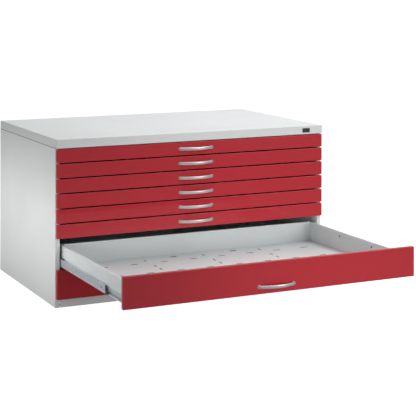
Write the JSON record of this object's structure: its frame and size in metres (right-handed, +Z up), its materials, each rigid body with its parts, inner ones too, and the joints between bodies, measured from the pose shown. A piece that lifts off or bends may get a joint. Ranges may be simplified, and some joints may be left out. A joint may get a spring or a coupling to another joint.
{
  "type": "flat file cabinet",
  "caption": "Steel flat file cabinet with shallow and deep drawers for large sheets on telescopic rails, red fronts with bow handles and a light grey carcass.",
  "frame": {"origin": "middle of the carcass footprint, on the floor plane", "axes": "+Z up, +X to the right as seen by a person facing the drawers, the drawer fronts face -Y and drawers open along -Y"},
  "size_m": [1.35, 1.857, 0.76],
  "materials": {
    "cover_grey": "light grey powder coat, satin",
    "carcass_grey": "light grey powder coat, satin",
    "tray_grey": "light grey powder coat, satin",
    "front_red": "ruby red powder coat, semi-gloss",
    "zinc_steel": "bright zinc plate",
    "buffer_black": "moulded black plastic",
    "foot_black": "moulded black plastic",
    "handle_silver": "satin silver"
  },
  "bodies": {
    "carcass": {"top_cover": "cover_grey", "side_panel_left": "carcass_grey", "side_panel_right": "carcass_grey", "back_panel": "carcass_grey", "floor_panel": "carcass_grey", "plinth_panel": "carcass_grey", "runner_posts": "carcass_grey", "cross_rails": "carcass_grey", "outer_rails": "zinc_steel", "outer_rail_bumpers": "buffer_black", "levelling_feet": "foot_black", "carcass_screws": "zinc_steel"},
    "drawer_1": {"drawer_1_front": "front_red", "drawer_1_tray": "tray_grey", "drawer_1_handle": "handle_silver", "drawer_1_inner_rails": "zinc_steel"},
    "mid_rails_1": {"drawer_1_mid_rails": "zinc_steel", "drawer_1_mid_bumpers": "buffer_black"},
    "drawer_2": {"drawer_2_front": "front_red", "drawer_2_tray": "tray_grey", "drawer_2_handle": "handle_silver", "drawer_2_inner_rails": "zinc_steel"},
    "mid_rails_2": {"drawer_2_mid_rails": "zinc_steel", "drawer_2_mid_bumpers": "buffer_black"},
    "drawer_3": {"drawer_3_front": "front_red", "drawer_3_tray": "tray_grey", "drawer_3_handle": "handle_silver", "drawer_3_inner_rails": "zinc_steel"},
    "mid_rails_3": {"drawer_3_mid_rails": "zinc_steel", "drawer_3_mid_bumpers": "buffer_black"},
    "drawer_4": {"drawer_4_front": "front_red", "drawer_4_tray": "tray_grey", "drawer_4_handle": "handle_silver", "drawer_4_inner_rails": "zinc_steel"},
    "mid_rails_4": {"drawer_4_mid_rails": "zinc_steel", "drawer_4_mid_bumpers": "buffer_black"},
    "drawer_5": {"drawer_5_front": "front_red", "drawer_5_tray": "tray_grey", "drawer_5_handle": "handle_silver", "drawer_5_inner_rails": "zinc_steel"},
    "mid_rails_5": {"drawer_5_mid_rails": "zinc_steel", "drawer_5_mid_bumpers": "buffer_black"},
    "drawer_6": {"drawer_6_front": "front_red", "drawer_6_tray": "tray_grey", "drawer_6_handle": "handle_silver", "drawer_6_inner_rails": "zinc_steel"},
    "mid_rails_6": {"drawer_6_mid_rails": "zinc_steel", "drawer_6_mid_bumpers": "buffer_black"},
    "drawer_7": {"drawer_7_front": "front_red", "drawer_7_tray": "tray_grey", "drawer_7_handle": "handle_silver", "drawer_7_inner_rails": "zinc_steel"},
    "mid_rails_7": {"drawer_7_mid_rails": "zinc_steel", "drawer_7_mid_bumpers": "buffer_black"},
    "drawer_8": {"drawer_8_front": "front_red", "drawer_8_tray": "tray_grey", "drawer_8_handle": "handle_silver", "drawer_8_inner_rails": "zinc_steel"},
    "mid_rails_8": {"drawer_8_mid_rails": "zinc_steel", "drawer_8_mid_bumpers": "buffer_black"}
  },
  "joints": [
    {"name": "drawer_1_slide", "type": "slide", "parent": "carcass", "child": "drawer_1", "axis": [0, -1, 0], "range_m": [0, 0.88]},
    {"name": "mid_rails_1_slide", "type": "slide", "parent": "carcass", "child": "mid_rails_1", "axis": [0, -1, 0], "range_m": [0, 0.662]},
    {"name": "drawer_2_slide", "type": "slide", "parent": "carcass", "child": "drawer_2", "axis": [0, -1, 0], "range_m": [0, 0.88]},
    {"name": "mid_rails_2_slide", "type": "slide", "parent": "carcass", "child": "mid_rails_2", "axis": [0, -1, 0], "range_m": [0, 0.662]},
    {"name": "drawer_3_slide", "type": "slide", "parent": "carcass", "child": "drawer_3", "axis": [0, -1, 0], "range_m": [0, 0.88]},
    {"name": "mid_rails_3_slide", "type": "slide", "parent": "carcass", "child": "mid_rails_3", "axis": [0, -1, 0], "range_m": [0, 0.662]},
    {"name": "drawer_4_slide", "type": "slide", "parent": "carcass", "child": "drawer_4", "axis": [0, -1, 0], "range_m": [0, 0.88]},
    {"name": "mid_rails_4_slide", "type": "slide", "parent": "carcass", "child": "mid_rails_4", "axis": [0, -1, 0], "range_m": [0, 0.662]},
    {"name": "drawer_5_slide", "type": "slide", "parent": "carcass", "child": "drawer_5", "axis": [0, -1, 0], "range_m": [0, 0.88]},
    {"name": "mid_rails_5_slide", "type": "slide", "parent": "carcass", "child": "mid_rails_5", "axis": [0, -1, 0], "range_m": [0, 0.662]},
    {"name": "drawer_6_slide", "type": "slide", "parent": "carcass", "child": "drawer_6", "axis": [0, -1, 0], "range_m": [0, 0.88]},
    {"name": "mid_rails_6_slide", "type": "slide", "parent": "carcass", "child": "mid_rails_6", "axis": [0, -1, 0], "range_m": [0, 0.662]},
    {"name": "drawer_7_slide", "type": "slide", "parent": "carcass", "child": "drawer_7", "axis": [0, -1, 0], "range_m": [-0.865, 0.015]},
    {"name": "mid_rails_7_slide", "type": "slide", "parent": "carcass", "child": "mid_rails_7", "axis": [0, -1, 0], "range_m": [-0.6507, 0.0132]},
    {"name": "drawer_8_slide", "type": "slide", "parent": "carcass", "child": "drawer_8", "axis": [0, -1, 0], "range_m": [0, 0.88]},
    {"name": "mid_rails_8_slide", "type": "slide", "parent": "carcass", "child": "mid_rails_8", "axis": [0, -1, 0], "range_m": [0, 0.662]}
  ],
  "couplings": [
    {"joint": "mid_rails_1_slide", "follows": "drawer_1_slide", "ratio": 0.75},
    {"joint": "mid_rails_2_slide", "follows": "drawer_2_slide", "ratio": 0.75},
    {"joint": "mid_rails_3_slide", "follows": "drawer_3_slide", "ratio": 0.75},
    {"joint": "mid_rails_4_slide", "follows": "drawer_4_slide", "ratio": 0.75},
    {"joint": "mid_rails_5_slide", "follows": "drawer_5_slide", "ratio": 0.75},
    {"joint": "mid_rails_6_slide", "follows": "drawer_6_slide", "ratio": 0.75},
    {"joint": "mid_rails_7_slide", "follows": "drawer_7_slide", "ratio": 0.75},
    {"joint": "mid_rails_8_slide", "follows": "drawer_8_slide", "ratio": 0.75}
  ]
}
